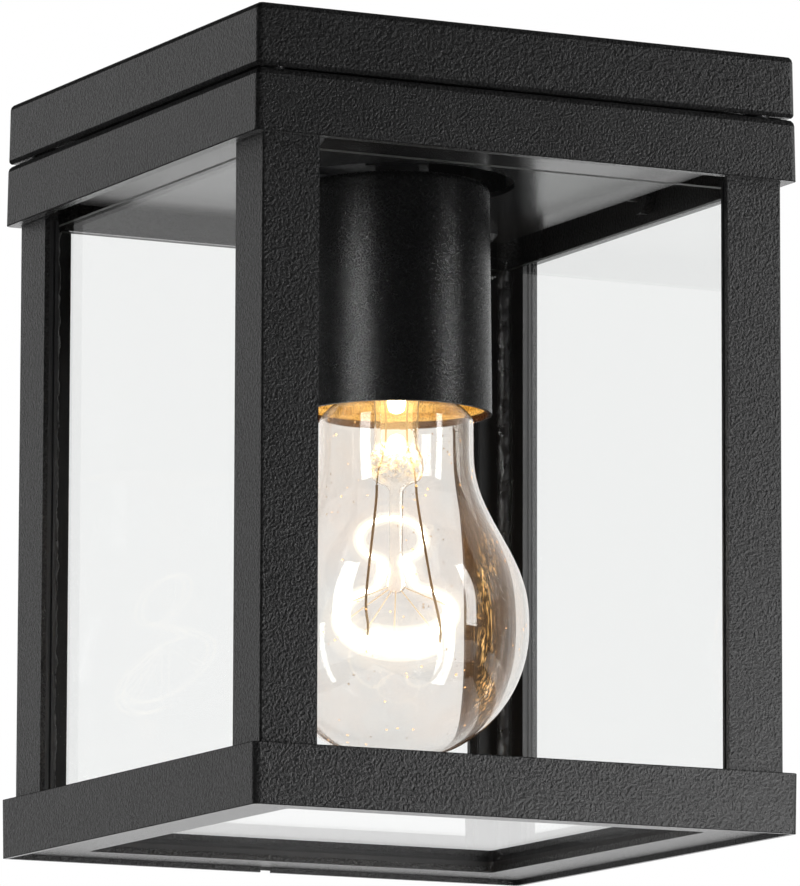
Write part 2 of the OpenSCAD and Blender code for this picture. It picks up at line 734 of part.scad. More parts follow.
// Silicone beads that close the corners between neighbouring panes.
module corner_beads() {
    bead_r = 2.1;
    bead_at = room_half - 0.1;
    color("#151516") for (c = CORNERS) at_corner(c[1])
        translate([0, 0, glass_z + glass_t]) linear_extrude(pane_top_z - glass_z - glass_t) difference() {
            translate([-bead_at, -bead_at]) circle(bead_r, $fn = 32);
            translate([-port_at, -port_at]) circle(port_r);
            translate([-pane_w / 2, -pane_half]) square([pane_w, glass_t]);
            translate([-pane_half, -pane_w / 2]) square([glass_t, pane_w]);
        }
}

// Open tray with a window: skirt, inner flange and a low rim around the underside.
module bottom_frame() {
    color("#2c2c2e") {
        difference() {
            casting(base_half, base_half_top, base_z, base_top_z, 0.15, 0.2);
            square_block(socket_half, 1, floor_z, base_top_z + cut);
            square_block(window_half, 1.2, base_z - cut, floor_z + cut);
            square_block(base_half - rim_t, 0.8, base_z - cut, flange_z);
            translate([-1.5, base_half - rim_t - cut, base_z - cut]) cube([3, 2 * rim_t, cut + 0.5]);
        }
        for (c = CORNERS) at_corner(c[1]) translate([-port_at, -port_at, floor_z - touch])
            cylinder(r = peg_r, h = peg_h + touch);
    }
}

module bottom_seal() {
    outer = pane_half + 0.4;
    color("#0f0f10") difference() {
        square_block(outer, 1, floor_z, glass_z);
        square_block(window_half + 0.4, 1.2, floor_z - cut, glass_z + cut);
        for (c = CORNERS) at_corner(c[1]) translate([-port_at, -port_at, floor_z - cut])
            cylinder(r = port_r + 0.2, h = seal_t + 2 * cut);
    }
}

module bottom_pane() {
    half = room_half - 0.4;
    color("#cfe3e3", 0.35) translate([-half, -half, glass_z]) cube([2 * half, 2 * half, glass_t]);
}

// Button-head cage screw, drawn on the right and turned to its side.
module cage_screw(turn) {
    head = screw_seat + washer_t;
    color("#2a2a2c") rotate(turn) translate([0, 0, screw_z]) rotate([0, 90, 0]) difference() {
        union() {
            translate([0, 0, screw_tip]) cylinder(r = screw_r, h = head - screw_tip + touch);
            translate([0, 0, head]) cylinder(r = screw_head_r, h = 0.5 * screw_head_h);
            translate([0, 0, head + 0.5 * screw_head_h])
                cylinder(r1 = screw_head_r, r2 = 0.6 * screw_head_r, h = 0.5 * screw_head_h);
        }
        translate([0, 0, head + 0.4 * screw_head_h]) cylinder(r = screw_key_r, h = 3, $fn = 6);
    }
}

module screw_washer(turn) {
    color("#111112") rotate(turn) translate([0, 0, screw_z]) rotate([0, 90, 0])
        ring(washer_r, screw_r + screw_run, screw_seat, screw_seat + washer_t);
}

// ---- Bulb ----

// The bulb's outline from its lowest point up to the cap, drawn in by t for the inner face.
function round_end(t) = [
    for (i = [0:bulb_steps]) let (a = -90 + 90 * i / bulb_steps)
        [(bulb_r - t) * cos(a), ball_z + (bulb_r - t) * sin(a)]
];
function ease(u) = u * u * u * (10 - 15 * u + 6 * u * u);
function swell(t) = [
    for (i = [1:bulb_steps]) let (u = i / bulb_steps)
        [bulb_r - t - (bulb_r - neck_r) * ease(u),
         ball_z + (swell_z - ball_z) * u]
];
function shoulder(t) = [
    for (i = [0:5]) let (u = i / 5)
        [seat_r - t + (neck_r - seat_r) * (0.5 + 0.5 * cos(180 * u)),
         neck_top_z + (cap_z - neck_top_z) * u]
];
function outline(t) = concat(round_end(t), swell(t), shoulder(t), [[seat_r - t, glass_top_z]]);
function reversed(p) = [for (i = [len(p) - 1:-1:0]) p[i]];

module bulb_glass() {
    color("#f4ead8", 0.3) rotate_extrude($fn = 96)
        polygon(concat(outline(0), reversed(outline(bulb_t))));
}

module bulb_cap() {
    shoulder_z = tip_z - contact_h - insulator_h - 2.4;
    color("#c9c6bc") rotate_extrude() polygon([
        [cap_r - cap_t, cap_z], [cap_r, cap_z], [cap_r, shoulder_z],
        [insulator_r, tip_z - contact_h - insulator_h + 0.6],
        [insulator_r, tip_z - contact_h - insulator_h + 0.3],
        [cap_r - cap_t, shoulder_z - 0.2]
    ]);
}

module bulb_insulator() {
    low = tip_z - contact_h - insulator_h;
    color("#1c1a24") rotate_extrude() polygon([
        [0, low], [insulator_r - 0.1, low], [insulator_r - 0.1, low + 0.9],
        [5.4, tip_z - contact_h], [0, tip_z - contact_h]
    ]);
}

module bulb_contact() {
    color("#b7b1a0") rotate_extrude() polygon([
        [0, tip_z - contact_h], [4.7, tip_z - contact_h], [4.5, tip_z - 0.4], [3, tip_z], [0, tip_z]
    ]);
}

module in_bulb() rotate(bulb_turn) children();

// Flared glass tube, its flat pinch and the rod that carries the supports.
module bulb_stem() {
    flare_r = seat_r - bulb_t - 0.05;
    color("#eef0ee", 0.4) in_bulb() {
        rotate_extrude() polygon([
            [flare_r, glass_top_z], [flare_r, glass_top_z - 1], [flare_r - 3.4, glass_top_z - 3.5],
            [stem_r, glass_top_z - 9], [stem_r, press_z], [stem_bore_r, press_z],
            [stem_bore_r, glass_top_z - 8.6], [flare_r - 4.2, glass_top_z - 2.6],
            [flare_r - 1, glass_top_z]
        ]);
        hull() {
            translate([0, 0, press_z]) cylinder(r = stem_r, h = 1, $fn = 32);
            for (s = [-1, 1]) translate([s * (press_w - press_t) / 2, 0, press_z - press_h + 1.5])
                cylinder(r = press_t / 2, h = 5, $fn = 20);
            translate([0, 0, press_z - press_h]) cylinder(r = press_t / 2, h = 2, $fn = 20);
        }
        translate([0, 0, press_z - press_h - rod_len]) cylinder(r = rod_r, h = rod_len + 1);
        translate([0, 0, press_z - press_h - rod_len]) sphere(button_r, $fn = 32);
    }
}

// A point of a filament loop at angle a: a circle whose near side, at -90, is tipped down.
function loop_point(loop, a, r = 0) = [
    (loop[0] + r) * cos(a), (loop[0] + r) * cos(loop[2]) * sin(a),
    loop[1] + (loop[0] + r) * sin(loop[2]) * sin(a)
];
function low_point(a, r = 0) = loop_point(low_loop, a, r) - [0, 0, low_pitch * a / 360];
function high_point(a) = high_shift + loop_point(high_loop, a);
neck_z = high_point(-90).z;                     // where the two loops' wires run side by side
filament_path = concat(
    [for (i = [0:11]) low_point(low_start + (low_leave - low_start) * i / 11)],
    [[3.1, 4, neck_z - 1.4], [2.9, 0, neck_z - 0.8]],
    [for (i = [0:11]) high_point(-72 + 324 * i / 11)],
    [[-3, 0, neck_z - 0.8], [-3.1, 4, neck_z - 1.4]],
    [for (i = [0:12]) low_point(low_join + (low_end - low_join) * i / 12)]
);

module filament() {
    color("#fff2c8") in_bulb() tube(smooth(filament_path, 2), filament_r, 6);
}

// Both leads leave the pinch and touch the filament's ends from outside.
module lead_wires() {
    foot = press_z - press_h + 1;
    beside = filament_r + lead_r + 0.02;
    left = low_point(low_start, beside);
    right = low_point(low_end, beside);
    color("#8d8f92") in_bulb() {
        tube(smooth([[-4.4, -1, foot - 1.2], [-4.6, -2, foot - 6],
            [left.x - 0.4, left.y - 0.6, left.z + 9], left + [0, -0.5, 2.5], left], 5), lead_r, 6);
        tube(smooth([[4.5, -1, foot - 1.2], [4.9, -1.8, foot - 6],
            [right.x - 2.2, right.y - 2.4, right.z + 14], [right.x, right.y - 1.6, right.z + 4],
            right], 5), lead_r, 6);
    }
}

module filament_supports() {
    hub = [0, 0, press_z - press_h - rod_len];
    color("#8d8f92") in_bulb() for (a = support_angles) {
        end = low_point(a, -filament_r - support_r - 0.02);
        way = unit(end - hub);
        tube([hub + (button_r + 0.02) * way, hub + 0.5 * (end - hub), end], support_r, 6);
    }
}

// ---- Nodes ----

canopy();
ceiling_gasket();
cable_grommet();
gear_tray();
gear_tray_screws();
tray_standoffs();
earth_screw();
holder_bracket();
bracket_nuts();
nipple();
nipple_nuts();
lamp_cup();
holder_body();
holder_shell();
holder_contact();
terminal_block();
terminal_barrels();
terminal_screws();
block_screws();
live_wire();
neutral_wire();
earth_wire();
top_frame();
for (c = CORNERS) post(c[1]);
post_screws();
for (s = SIDES) pane(s[1]);
for (s = SIDES) strips(s[1]);
corner_beads();
bottom_frame();
bottom_seal();
bottom_pane();
cage_screw(0);  // cage_screw_right
screw_washer(0);  // screw_washer_right
cage_screw(90);  // cage_screw_back
screw_washer(90);  // screw_washer_back
bulb_glass();
bulb_cap();
bulb_insulator();
bulb_contact();
bulb_stem();
lead_wires();
filament();
filament_supports();
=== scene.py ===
"""Looks of a square porch ceiling lantern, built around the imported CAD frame.

Metres, +Z up, front -Y.
"""

import functools
import json
import math
import random

import bpy
from mathutils import Matrix, Vector, noise


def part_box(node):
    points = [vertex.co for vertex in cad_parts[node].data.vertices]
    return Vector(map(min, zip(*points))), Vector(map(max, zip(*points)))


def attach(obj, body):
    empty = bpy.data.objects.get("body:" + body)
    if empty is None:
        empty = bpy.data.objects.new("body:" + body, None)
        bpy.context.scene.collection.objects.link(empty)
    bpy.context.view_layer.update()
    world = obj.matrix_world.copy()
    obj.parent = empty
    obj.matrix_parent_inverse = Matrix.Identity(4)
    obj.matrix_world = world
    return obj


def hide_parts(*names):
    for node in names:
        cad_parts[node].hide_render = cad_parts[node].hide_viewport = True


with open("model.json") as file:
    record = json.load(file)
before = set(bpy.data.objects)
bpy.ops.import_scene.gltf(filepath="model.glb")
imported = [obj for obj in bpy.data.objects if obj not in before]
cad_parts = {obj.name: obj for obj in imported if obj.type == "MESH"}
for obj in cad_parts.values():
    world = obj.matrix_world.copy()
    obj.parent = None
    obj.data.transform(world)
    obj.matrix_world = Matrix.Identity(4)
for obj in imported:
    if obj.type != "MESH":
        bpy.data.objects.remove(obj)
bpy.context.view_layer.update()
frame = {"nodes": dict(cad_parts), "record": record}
NODES = frame["nodes"]
scene = bpy.context.scene
scene.view_settings.view_transform = "Standard"
scene.cycles.max_bounces = 24
scene.cycles.transmission_bounces = 24
scene.cycles.glossy_bounces = 8
scene.cycles.transparent_max_bounces = 32
MM = 0.001

# ---------------------------------------------------------------- camera
# Fitted to the photograph's straight edges.
YAW, PITCH, ROLL = (math.radians(a) for a in (26.716, 8.767, 0.160))
FOCAL_PX, PICTURE_HIGH_PX, SENSOR = 8046.43, 886, 36
LANTERN_MIDDLE = Vector((0, 0, -0.08738))
CAM_BACK, CAM_ASIDE, CAM_ABOVE = 1.8171, 0.001275, 0.004133

ahead = Vector((math.sin(YAW) * math.cos(PITCH), math.cos(YAW) * math.cos(PITCH), math.sin(PITCH)))
level = Vector((math.cos(YAW), -math.sin(YAW), 0))
upright = level.cross(ahead)
cam_x = level * math.cos(ROLL) + upright * math.sin(ROLL)
cam_y = upright * math.cos(ROLL) - level * math.sin(ROLL)
cam_at = LANTERN_MIDDLE - ahead * CAM_BACK + level * CAM_ASIDE + upright * CAM_ABOVE
cam = bpy.data.objects.new("camera", bpy.data.cameras.new("camera"))
scene.collection.objects.link(cam)
cam.matrix_world = Matrix((
    (cam_x.x, cam_y.x, -ahead.x, cam_at.x),
    (cam_x.y, cam_y.y, -ahead.y, cam_at.y),
    (cam_x.z, cam_y.z, -ahead.z, cam_at.z),
    (0, 0, 0, 1),
))
cam.data.sensor_fit = "VERTICAL"
cam.data.sensor_height = SENSOR
cam.data.lens = FOCAL_PX * SENSOR / PICTURE_HIGH_PX
cam.data.clip_start = 0.05
scene.camera = cam


# ---------------------------------------------------------------- shader helpers
def add_node(tree, kind, inputs=None, **props):
    """Adds a shader node; each input is a value or another node's socket."""
    n = tree.nodes.new("ShaderNode" + kind)
    for k, v in props.items():
        setattr(n, k, v)
    for k, v in (inputs or {}).items():
        if isinstance(v, bpy.types.NodeSocket):
            tree.links.new(v, n.inputs[k])
        else:
            n.inputs[k].default_value = v
    return n


class Shader:
    """A material's node tree, with short calls for the nodes that this scene uses."""

    def __init__(self, name):
        self.mat = bpy.data.materials.new(name)
        self.mat.use_nodes = True
        self.tree = self.mat.node_tree
        self.tree.nodes.clear()
        self.out = self.tree.nodes.new("ShaderNodeOutputMaterial")
        self.coord = None

    def node(self, kind, inputs=None, **props):
        return add_node(self.tree, kind, inputs, **props)

    def place(self):
        """The point's place in the row frame, in metres."""
        if self.coord is None:
            self.coord = self.node("TexCoord").outputs["Object"]
        return self.coord

    def stretched(self, x, y, z):
        return self.node("Mapping", {"Vector": self.place(), "Scale": (x, y, z)}).outputs["Vector"]

    def noise(self, scale, detail=2.0, rough=0.5, at=None):
        return self.node("TexNoise", {
            "Vector": at or self.place(), "Scale": scale, "Detail": detail, "Roughness": rough,
        }).outputs["Fac"]

    def cells(self, scale):
        return self.node("TexVoronoi", {"Vector": self.place(), "Scale": scale}).outputs["Distance"]

    def remap(self, value, low, high, to_low=0.0, to_high=1.0, smooth=False):
        return self.node("MapRange", {
            "Value": value, "From Min": low, "From Max": high, "To Min": to_low, "To Max": to_high,
        }, interpolation_type="SMOOTHSTEP" if smooth else "LINEAR").outputs["Result"]

    def math(self, op, a, b=0.0, c=0.0):
        return self.node("Math", {0: a, 1: b, 2: c}, operation=op).outputs[0]

    def blend(self, fac, a, b):
        """A mix of two colours; a Mix node's colour sockets are inputs 6 and 7 and output 2."""
        return self.node("Mix", {0: fac, 6: a, 7: b}, data_type="RGBA").outputs[2]

    def product(self, first, *rest):
        for factor in rest:
            first = self.math("MULTIPLY", first, factor)
        return first

    def bump(self, height, strength, distance):
        inputs = {"Height": height, "Strength": strength, "Distance": distance}
        return self.node("Bump", inputs).outputs["Normal"]

    def axis(self, name):
        """A coordinate of the point's place."""
        return self.node("SeparateXYZ", {"Vector": self.place()}).outputs[name]

    def facing(self, name):
        """A component of the true normal, in the row frame."""
        n = self.node("NewGeometry").outputs["True Normal"]
        return self.node("SeparateXYZ", {"Vector": n}).outputs[name]

    def radius(self):
        """Distance from the vertical axis, in metres."""
        return self.math("SQRT", self.math("ADD", self.math("POWER", self.axis("X"), 2.0),
                                           self.math("POWER", self.axis("Y"), 2.0)))

    def not_mirrored(self):
        """1 for a ray that no mirror has turned on its way, else 0."""
        return self.math("LESS_THAN", self.node("LightPath").outputs["Glossy Depth"], 0.5)

    def principled(self, **inputs):
        return self.node("BsdfPrincipled", {k.replace("_", " "): v for k, v in inputs.items()})

    def done(self, shader, volume=None):
        if shader is not None:
            self.tree.links.new(shader.outputs[0], self.out.inputs["Surface"])
        if volume is not None:
            self.tree.links.new(volume.outputs[0], self.out.inputs["Volume"])
        return self.mat


def rgb(r, g, b):
    return (r, g, b, 1.0)


def powder_coat(name, dark, light, grain=1600.0, rough=0.5, depth=0.0012):
    """Leather-like black powder coat: a wrinkled skin under a smoother gloss.

    The rounded edges are dull and have no gloss. Level faces that look down are the glossiest.
    """
    s = Shader(name)
    broad = s.noise(60.0, detail=2.0)
    wrinkle = s.noise(grain, detail=3.0, rough=0.6)
    fine = s.noise(grain * 1.9, detail=1.0)
    height = s.math("ADD", s.remap(wrinkle, 0.3, 0.7), s.math("MULTIPLY", fine, 0.25))
    # The tone follows the wrinkles: paler on their crests and darker in their valleys, as painted
    # highlight and painted shade of the grain, with a broad random part.
    tone = s.remap(s.math("ADD", s.math("MULTIPLY", wrinkle, 0.8), s.math("MULTIPLY", broad, 0.2)),
                   0.42, 0.62)
    upright_below, level_above = 0.12, 0.97  # of the normal's Z
    up = s.facing("Z")
    slope = s.math("ABSOLUTE", up)
    below = s.math("LESS_THAN", up, -level_above)
    edge = s.product(s.math("GREATER_THAN", slope, upright_below),
                     s.math("LESS_THAN", slope, level_above))
    bsdf = s.principled(
        Base_Color=s.blend(tone, rgb(*dark), rgb(*light)),
        Roughness=s.math("MAXIMUM", s.remap(fine, 0.3, 0.7, rough + 0.05, rough - 0.05),
                         s.math("MULTIPLY", edge, 0.8)),
        Specular_IOR_Level=0.26,
        Coat_Weight=s.product(s.math("SUBTRACT", 1.0, edge), s.remap(below, 0.0, 1.0, 0.55, 1.0)),
        Coat_Roughness=0.22,
        Coat_IOR=s.remap(below, 0.0, 1.0, 1.5, 2.0),
        Coat_Normal=s.bump(height, 1.0, depth * 0.06),
        Normal=s.bump(height, 1.0, depth),
    )
    return s.done(bsdf)


def metal(name, color, rough, stain=None):
    """Bare metal with a fine grain and clouds of a darker tone."""
    s = Shader(name)
    grain = s.noise(900.0, detail=3.0)
    cloud = s.noise(110.0, detail=3.0)
    stain = stain or [0.8 * c for c in color]
    bsdf = s.principled(
        Base_Color=s.blend(s.remap(cloud, 0.35, 0.7), rgb(*color), rgb(*stain)),
        Metallic=1.0,
        Roughness=s.remap(grain, 0.3, 0.7, rough - 0.06, rough + 0.1),
        Normal=s.bump(grain, 0.15, 0.00005),
    )
    return s.done(bsdf)


def dull(name, color, rough, grain=1300.0, depth=0.00008, spread=0.25):
    """Rubber, plastic, porcelain or sleeve: a matt body with a little grain and uneven tone."""
    s = Shader(name)
    fine = s.noise(grain, detail=3.0)
    broad = s.noise(150.0, detail=2.0)
    pale = [min(1.0, c * (1 + spread) + 0.004) for c in color]
    bsdf = s.principled(
        Base_Color=s.blend(s.remap(broad, 0.35, 0.65), rgb(*color), rgb(*pale)),
        Roughness=s.remap(fine, 0.3, 0.7, rough - 0.07, rough + 0.07),
        Normal=s.bump(fine, 0.3, depth),
    )
    return s.done(bsdf)


def lit_through(s, glass, tint):
    """Lets lamps and bounced light through the glass, so that it throws no black shadow."""
    path = s.node("LightPath")
    passing = s.math("MAXIMUM", path.outputs["Is Shadow Ray"], path.outputs["Is Diffuse Ray"])
    clear = s.node("BsdfTransparent", {"Color": rgb(*[0.5 + 0.45 * t for t in tint])})
    return s.node("MixShader", {0: passing, 1: glass.outputs[0], 2: clear.outputs[0]})


def pane_glass():
    """Flat clear glass with faint dust; its cut edges are ground dull and look dark green-grey."""
    # The two broad faces of each pane lie along X, Y or Z between these distances from the origin.
    broad_planes = (("X", 0.0575, 0.0607), ("Y", 0.0575, 0.0607), ("Z", 0.1680, 0.1712))
    s = Shader("pane_glass")
    tint = (0.994, 1.0, 0.997)
    haze = s.remap(s.noise(45.0, detail=4.0, rough=0.65), 0.56, 0.8, 0.0, 0.002)
    glass = s.principled(Base_Color=rgb(*tint), Roughness=haze, IOR=1.42, Transmission_Weight=1.0)
    grit = s.noise(1500.0, detail=3.0)
    edge = s.principled(
        Base_Color=s.blend(grit, rgb(0.010, 0.014, 0.013), rgb(0.022, 0.028, 0.026)),
        Roughness=0.5, Normal=s.bump(grit, 0.4, 0.0001),
    )
    broad = 0.0
    for axis, low, high in broad_planes:
        off = s.math("ABSOLUTE", s.axis(axis))
        lies = s.product(s.math("GREATER_THAN", off, low), s.math("LESS_THAN", off, high))
        square_on = s.math("GREATER_THAN", s.math("ABSOLUTE", s.facing(axis)), 0.9)
        broad = s.math("MAXIMUM", broad, s.product(lies, square_on))
    both = s.node("MixShader", {0: broad, 1: edge.outputs[0], 2: glass.outputs[0]})
    return s.done(lit_through(s, both, tint))


def bulb_glass():
    """Thin blown glass with a faint warm film, a few specks of dust and slight waves, and a painted
    amber reflection of the filament in a band on one side.
    """
    s = Shader("bulb_glass")
    tint = (0.985, 0.982, 0.972)
    wave = s.noise(55.0, detail=1.0, at=s.stretched(1.0, 1.0, 0.35))
    glass = s.principled(
        Base_Color=rgb(*tint), Roughness=0.0, IOR=1.5, Transmission_Weight=1.0,
        Normal=s.bump(wave, 0.25, 0.0006),
    )
    speck = s.remap(s.cells(420.0), 0.10, 0.16, 1.0, 0.0)
    some = s.remap(s.noise(160.0, detail=3.0), 0.56, 0.62)
    # The specks of dust and the smear are tinted orange: painted warm light of the filament on them.
    dust = s.node("BsdfTranslucent", {"Color": rgb(1.0, 0.70, 0.42)})
    breath = s.noise(38.0, detail=5.0, rough=0.7, at=s.stretched(1.0, 1.0, 0.4))
    smear = s.remap(breath, 0.42, 0.75, 0.008, 0.05)
    share = s.math("MAXIMUM", s.product(speck, some, 0.7), smear)
    film = s.node("MixShader", {0: share, 1: glass.outputs[0], 2: dust.outputs[0]})
    # Painted reflection: amber streaks that glow, standing for the filament's light mirrored in the
    # glass, in a band that is fixed on the bulb.
    z = s.axis("Z")
    side = s.math("SUBTRACT", s.math("MULTIPLY", s.axis("X"), math.cos(YAW)),
                  s.math("MULTIPLY", s.axis("Y"), math.sin(YAW)))
    streaks = s.noise(1400.0, detail=3.0, rough=0.6, at=s.stretched(1.0, 1.0, 0.03))
    painted_streaks = s.remap(streaks, 0.54, 0.68)
    broken = s.remap(s.noise(170.0, detail=3.0), 0.42, 0.58)
    zone = s.product(s.remap(side, 0.0175, 0.0195, smooth=True),
                     s.remap(side, 0.0205, 0.0235, 1.0, 0.0, smooth=True))
    height = s.product(s.remap(z, -0.152, -0.138, smooth=True),
                       s.remap(z, -0.118, -0.100, 1.0, 0.0, smooth=True))
    painted_reflection = s.product(s.product(painted_streaks, broken), s.product(zone, height, 1.5))
    gold = s.node("Emission", {"Color": rgb(1.0, 0.60, 0.22), "Strength": painted_reflection})
    film = s.node("AddShader", {0: film.outputs[0], 1: gold.outputs[0]})
    return s.done(lit_through(s, film, tint))


def stem_glass():
    """Glass of the stem, with amber crumbs in the pinch."""
    s = Shader("stem_glass")
    tint = (0.995, 0.985, 0.965)
    wave = s.noise(420.0, detail=2.0)
    glass = s.principled(
        Base_Color=rgb(*tint), Roughness=0.02, IOR=1.06, Transmission_Weight=1.0,
        Normal=s.bump(wave, 0.35, 0.0005),
    )
    z = s.axis("Z")
    pinch = s.product(s.remap(z, -0.0935, -0.0880), s.remap(z, -0.0855, -0.0835, 1.0, 0.0))
    crumbs = s.remap(s.noise(700.0, detail=3.0, rough=0.7), 0.46, 0.62, 0.04, 0.6)
    warm = s.blend(s.noise(500.0, detail=2.0), rgb(1.0, 0.74, 0.42), rgb(1.0, 0.90, 0.74))
    amber = s.node("BsdfTranslucent", {"Color": warm})
    share = s.math("MAXIMUM", s.product(pinch, crumbs), 0.02)
    both = s.node("MixShader", {0: share, 1: glass.outputs[0], 2: amber.outputs[0]})
    return s.done(lit_through(s, both, tint))


def plate_paint():
    """Black satin paint of the gear tray."""
    s = Shader("plate")
    fine = s.noise(1700.0, detail=2.0)
    broad = s.noise(30.0, detail=3.0)
    bsdf = s.principled(
        Base_Color=s.blend(s.remap(broad, 0.35, 0.65), rgb(0.014, 0.014, 0.0145),
                           rgb(0.021, 0.021, 0.0215)),
        Roughness=s.remap(broad, 0.3, 0.7, 0.20, 0.225),
        Specular_IOR_Level=1.0,
        Normal=s.bump(fine, 0.3, 0.00001),
    )
    return s.done(bsdf)


def cup_paint():
    """Black outside, a brown band of overspray just inside the mouth, gold above it; the band's brown
    and the gold's warm hue are partly painted warm light of the bulb.
    """
    taper = 0.0006  # by which the wall's radius grows from the mouth to the top
    lid = 0.0006
    s = Shader("cup_paint")
    low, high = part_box("lamp_cup")
    mouth, top = low.z, high.z
    z = s.axis("Z")
    wall = s.math("SUBTRACT", s.radius(), s.remap(z, mouth, top, taper, 0.0))
    fine = s.noise(2500.0, detail=2.0, rough=0.55)
    inside = s.product(s.remap(wall, 0.0203, 0.0207, 1.0, 0.0), s.math("LESS_THAN", z, top - lid))
    lip = s.remap(z, mouth + 0.0015, mouth + 0.0019, 1.0, 0.0)
    black = s.blend(s.remap(fine, 0.35, 0.65), rgb(0.0015, 0.0015, 0.0017),
                    rgb(0.004, 0.004, 0.0044))
    rings = s.remap(s.noise(420.0, detail=2.0, at=s.stretched(0.02, 0.02, 1.0)), 0.4, 0.6)
    # Painted warm light: the gold inside and the brown overspray band take their warm hue partly from
    # the bulb's light, painted in.
    gold = s.blend(rings, rgb(0.62, 0.36, 0.07), rgb(0.98, 0.74, 0.34))
    within = s.blend(lip, gold, rgb(0.03, 0.012, 0.005))
    bare = s.product(inside, s.math("SUBTRACT", 1.0, lip), 0.5)
    bsdf = s.principled(
        Base_Color=s.blend(inside, black, within),
        Metallic=bare,
        Roughness=s.remap(fine, 0.3, 0.7, 0.31, 0.24),
        Specular_IOR_Level=0.35,
        Normal=s.bump(fine, 1.0, 0.00009),
    )
    return s.done(bsdf)


def glow():
    """White-hot filament, seen straight or through glass; mirrors show it much weaker."""
    straight_strength, mirrored_strength = 18.0, 1.5
    s = Shader("glow")
    hot = s.noise(700.0, detail=2.0)
    strength = s.remap(s.not_mirrored(), 0.0, 1.0, mirrored_strength, straight_strength)
    return s.done(s.node("Emission", {
        "Color": s.blend(hot, rgb(1.0, 0.80, 0.50), rgb(1.0, 0.87, 0.62)), "Strength": strength}))


def painted_glare_volume(name, strength, color):
    """Painted glare that hangs round the hot wire as light, with no surface of its own; mirrors do
    not show it.
    """
    s = Shader(name)
    haze = s.noise(180.0, detail=1.0)
    paler = [min(1.0, c * 1.06) for c in color]
    e = s.node("Emission", {"Color": s.blend(haze, rgb(*color), rgb(*paler)),
                            "Strength": s.product(s.not_mirrored(), strength)})
    return s.done(None, e)


def wire_with_painted_glow():
    """Support wire with a painted glow, brightest low down by the lower loop, standing for the
    filament's glare on it.
    """
    s = Shader("wire_with_painted_glow")
    fine = s.noise(900.0, detail=2.0)
    bsdf = s.principled(
        Base_Color=s.blend(fine, rgb(0.62, 0.50, 0.38), rgb(0.75, 0.62, 0.48)),
        Metallic=1.0,
        Roughness=0.4,
        Emission_Color=s.blend(fine, rgb(1.0, 0.78, 0.52), rgb(1.0, 0.88, 0.68)),
        Emission_Strength=s.remap(s.axis("Z"), -0.116, -0.129, 0.55, 1.1),
    )
    return s.done(bsdf)


def silicone():
    """Rough black silicone, squeezed out and left."""
    s = Shader("silicone")
    lumps = s.noise(420.0, detail=3.0, rough=0.6)
    bsdf = s.principled(
        Base_Color=s.blend(lumps, rgb(0.008, 0.008, 0.009), rgb(0.016, 0.016, 0.017)),
        Roughness=s.remap(lumps, 0.3, 0.7, 0.25, 0.42),
        Normal=s.bump(lumps, 0.6, 0.0004),
    )
    return s.done(bsdf)


# ---------------------------------------------------------------- materials
MATERIALS = {
    "coat": powder_coat("coat", (0.0025, 0.0025, 0.0027), (0.027, 0.027, 0.0278)),
    "coat_steel": powder_coat("coat_steel", (0.008, 0.008, 0.009), (0.018, 0.018, 0.019),
                              grain=3000.0, rough=0.45, depth=0.00015),
    "plate": plate_paint(),
    "zinc": metal("zinc", (0.62, 0.62, 0.63), 0.3),
    "brass": metal("brass", (0.80, 0.58, 0.25), 0.26, stain=(0.6, 0.42, 0.16)),
    "cap_metal": metal("cap_metal", (0.80, 0.77, 0.70), 0.25, stain=(0.62, 0.6, 0.54)),
    "lead": metal("lead", (0.62, 0.47, 0.31), 0.42),
    "porcelain": dull("porcelain", (0.78, 0.76, 0.70), 0.22, depth=0.00002, spread=0.06),
    "black_rubber": dull("black_rubber", (0.006, 0.006, 0.007), 0.5),
    "grey_foam": dull("grey_foam", (0.03, 0.03, 0.032), 0.9, grain=2200.0, depth=0.0003),
    "white_plastic": dull("white_plastic", (0.72, 0.72, 0.69), 0.45, depth=0.00003, spread=0.05),
    "brown_wire": dull("brown_wire", (0.13, 0.05, 0.02), 0.4),
    "blue_wire": dull("blue_wire", (0.02, 0.09, 0.36), 0.4),
    "green_wire": dull("green_wire", (0.08, 0.3, 0.04), 0.4),
    "black_glass": dull("black_glass", (0.02, 0.018, 0.026), 0.12, depth=0.00001),
    "pane_glass": pane_glass(),
    "bulb_glass": bulb_glass(),
    "stem_glass": stem_glass(),
    "glow": glow(),
}

for part in frame["record"]["subparts"]:
    o = NODES[part["node"]]
    o.data.materials.clear()
    o.data.materials.append(MATERIALS[part["material_slot"]])


def heads_in_painted_shade():
    """Zinc screws, black below the plate's underside: painted shade on the heads, which lie in the
    shadow of the posts and strips.
    """
    s = Shader("heads_in_painted_shade")
    fine = s.noise(1500.0, detail=2.0)
    below = s.remap(s.axis("Z"), -0.0240, -0.0238, 1.0, 0.0)  # the plate's underside
    bsdf = s.principled(
        Base_Color=s.blend(below, rgb(0.55, 0.55, 0.56), rgb(0.012, 0.012, 0.0125)),
        Metallic=s.math("SUBTRACT", 1.0, below),
        Roughness=s.remap(fine, 0.3, 0.7, 0.30, 0.42),
        Normal=s.bump(fine, 0.3, 0.00005),
    )
    return s.done(bsdf)


NODES["lamp_cup"].data.materials[0] = cup_paint()
NODES["gear_tray_screws"].data.materials[0] = heads_in_painted_shade()
NODES["filament_supports"].data.materials[0] = wire_with_painted_glow()
# Painted shade: the parts in the dark gap above the cup get a zinc much darker than bright zinc, for
# the shade they lie in.
zinc_in_painted_shade = metal("zinc_in_painted_shade", (0.09, 0.09, 0.093), 0.5)
for node in ("holder_bracket", "nipple", "nipple_nuts"):
    NODES[node].data.materials[0] = zinc_in_painted_shade


